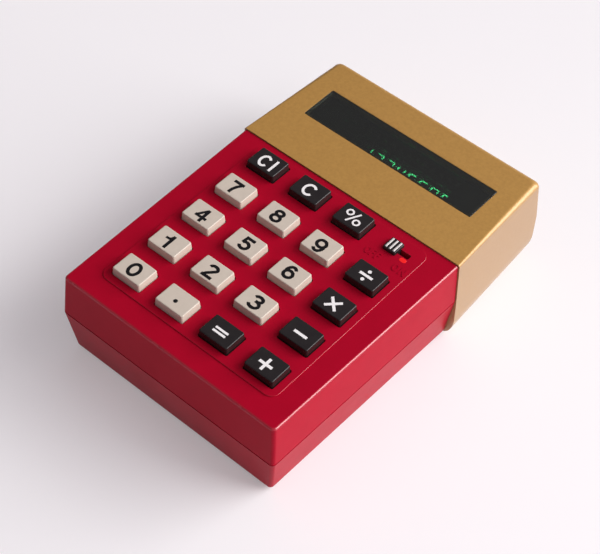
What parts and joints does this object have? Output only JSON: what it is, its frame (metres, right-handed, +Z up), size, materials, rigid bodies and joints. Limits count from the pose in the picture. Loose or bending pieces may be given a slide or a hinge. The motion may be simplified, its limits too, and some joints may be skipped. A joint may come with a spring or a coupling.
{
  "type": "desk calculator",
  "caption": "Desk calculator with a two-shell case, a wrap-round display cap with a tube display, press keys, a slide switch, circuit boards and a battery bay.",
  "frame": {"origin": "middle of the footprint, on the table under the rubber feet", "axes": "+X to the right as the keys are read, +Y from the front edge to the display end, +Z up"},
  "size_m": [0.0814, 0.1192, 0.0333],
  "materials": {
    "red_case": "moulded ABS, polished",
    "gold_cap": "moulded ABS, metallic gold paint, satin",
    "smoked_window": "smoked acrylic, polished",
    "black_key": "moulded, semi-gloss",
    "ivory_key": "moulded, semi-gloss",
    "red_mark": "moulded inlay",
    "steel": "bright plated",
    "contact_brass": "plated",
    "grey_rubber": "matt silicone",
    "carbon_pads": "printed carbon",
    "tan_board": "phenolic laminate",
    "green_board": "lacquered laminate",
    "black_moulding": "moulded, matt",
    "tube_glass": "clear glass",
    "dark_ceramic": "fired, matt",
    "phosphor": "green phosphor",
    "ferrite": "fired ferrite",
    "copper": "enamelled copper wire",
    "blue_sleeve": "shrunk sleeve",
    "resistor_body": "lacquered",
    "cell_jacket": "plain printed jacket",
    "red_wire": "PVC sleeve",
    "black_wire": "PVC sleeve",
    "fish_paper": "paper board",
    "black_rubber": "matt rubber"
  },
  "bodies": {
    "case": {"upper_case": "red_case", "lower_case": "red_case", "display_cap": "gold_cap", "display_window": "smoked_window", "switch_marker": "red_mark", "switch_can": "steel", "switch_contacts": "contact_brass", "key_mat": "grey_rubber", "key_contacts": "carbon_pads", "key_board": "tan_board", "main_board": "green_board", "board_link": "steel", "chip_body": "black_moulding", "chip_legs": "steel", "display_mask": "black_moulding", "tube_glass": "tube_glass", "tube_anode_plate": "dark_ceramic", "tube_segments": "phosphor", "tube_grids": "steel", "tube_filaments": "steel", "tube_leads": "steel", "tube_pads": "black_rubber", "converter_core": "ferrite", "converter_winding": "copper", "capacitors": "blue_sleeve", "resistors": "resistor_body", "transistors": "black_moulding", "adapter_socket": "black_moulding", "battery_cells": "cell_jacket", "battery_springs": "steel", "battery_plates": "steel", "lead_plus": "red_wire", "lead_minus": "black_wire", "insulating_sheet": "fish_paper", "rubber_feet": "black_rubber", "case_screws": "steel", "key_board_screws": "steel", "main_board_screws": "steel", "cap_screws": "steel"},
    "switch": {"switch_knob": "black_key"},
    "battery_cover": {"battery_door": "red_case"},
    "key_0_body": {"key_0": "ivory_key"},
    "key_1_body": {"key_1": "ivory_key"},
    "key_2_body": {"key_2": "ivory_key"},
    "key_3_body": {"key_3": "ivory_key"},
    "key_4_body": {"key_4": "ivory_key"},
    "key_5_body": {"key_5": "ivory_key"},
    "key_6_body": {"key_6": "ivory_key"},
    "key_7_body": {"key_7": "ivory_key"},
    "key_8_body": {"key_8": "ivory_key"},
    "key_9_body": {"key_9": "ivory_key"},
    "key_point_body": {"key_point": "ivory_key"},
    "key_equals_body": {"key_equals": "black_key"},
    "key_plus_body": {"key_plus": "black_key"},
    "key_minus_body": {"key_minus": "black_key"},
    "key_times_body": {"key_times": "black_key"},
    "key_divide_body": {"key_divide": "black_key"},
    "key_clear_entry_body": {"key_clear_entry": "black_key"},
    "key_clear_body": {"key_clear": "black_key"},
    "key_percent_body": {"key_percent": "black_key"}
  },
  "joints": [
    {"name": "key_0_press", "type": "slide", "parent": "case", "child": "key_0_body", "axis": [0, 0, -1], "range_m": [0, 0.0012], "stiffness_N_per_m": 800, "deforming": ["key_mat"]},
    {"name": "key_1_press", "type": "slide", "parent": "case", "child": "key_1_body", "axis": [0, 0, -1], "range_m": [0, 0.0012], "stiffness_N_per_m": 800},
    {"name": "key_2_press", "type": "slide", "parent": "case", "child": "key_2_body", "axis": [0, 0, -1], "range_m": [0, 0.0012], "stiffness_N_per_m": 800},
    {"name": "key_3_press", "type": "slide", "parent": "case", "child": "key_3_body", "axis": [0, 0, -1], "range_m": [0, 0.0012], "stiffness_N_per_m": 800},
    {"name": "key_4_press", "type": "slide", "parent": "case", "child": "key_4_body", "axis": [0, 0, -1], "range_m": [0, 0.0012], "stiffness_N_per_m": 800},
    {"name": "key_5_press", "type": "slide", "parent": "case", "child": "key_5_body", "axis": [0, 0, -1], "range_m": [0, 0.0012], "stiffness_N_per_m": 800},
    {"name": "key_6_press", "type": "slide", "parent": "case", "child": "key_6_body", "axis": [0, 0, -1], "range_m": [0, 0.0012], "stiffness_N_per_m": 800},
    {"name": "key_7_press", "type": "slide", "parent": "case", "child": "key_7_body", "axis": [0, 0, -1], "range_m": [0, 0.0012], "stiffness_N_per_m": 800},
    {"name": "key_8_press", "type": "slide", "parent": "case", "child": "key_8_body", "axis": [0, 0, -1], "range_m": [0, 0.0012], "stiffness_N_per_m": 800},
    {"name": "key_9_press", "type": "slide", "parent": "case", "child": "key_9_body", "axis": [0, 0, -1], "range_m": [0, 0.0012], "stiffness_N_per_m": 800},
    {"name": "key_point_press", "type": "slide", "parent": "case", "child": "key_point_body", "axis": [0, 0, -1], "range_m": [0, 0.0012], "stiffness_N_per_m": 800},
    {"name": "key_equals_press", "type": "slide", "parent": "case", "child": "key_equals_body", "axis": [0, 0, -1], "range_m": [0, 0.0012], "stiffness_N_per_m": 800},
    {"name": "key_plus_press", "type": "slide", "parent": "case", "child": "key_plus_body", "axis": [0, 0, -1], "range_m": [0, 0.0012], "stiffness_N_per_m": 800},
    {"name": "key_minus_press", "type": "slide", "parent": "case", "child": "key_minus_body", "axis": [0, 0, -1], "range_m": [0, 0.0012], "stiffness_N_per_m": 800},
    {"name": "key_times_press", "type": "slide", "parent": "case", "child": "key_times_body", "axis": [0, 0, -1], "range_m": [0, 0.0012], "stiffness_N_per_m": 800},
    {"name": "key_divide_press", "type": "slide", "parent": "case", "child": "key_divide_body", "axis": [0, 0, -1], "range_m": [0, 0.0012], "stiffness_N_per_m": 800},
    {"name": "key_clear_entry_press", "type": "slide", "parent": "case", "child": "key_clear_entry_body", "axis": [0, 0, -1], "range_m": [0, 0.0012], "stiffness_N_per_m": 800},
    {"name": "key_clear_press", "type": "slide", "parent": "case", "child": "key_clear_body", "axis": [0, 0, -1], "range_m": [0, 0.0012], "stiffness_N_per_m": 800},
    {"name": "key_percent_press", "type": "slide", "parent": "case", "child": "key_percent_body", "axis": [0, 0, -1], "range_m": [0, 0.0012], "stiffness_N_per_m": 800},
    {"name": "switch_slide", "type": "slide", "parent": "case", "child": "switch", "axis": [1, 0, 0], "range_m": [0, 0.0032]},
    {"name": "battery_door_lift", "type": "slide", "parent": "case", "child": "battery_cover", "axis": [0, 0, -1], "range_m": [0, 0.008]}
  ]
}
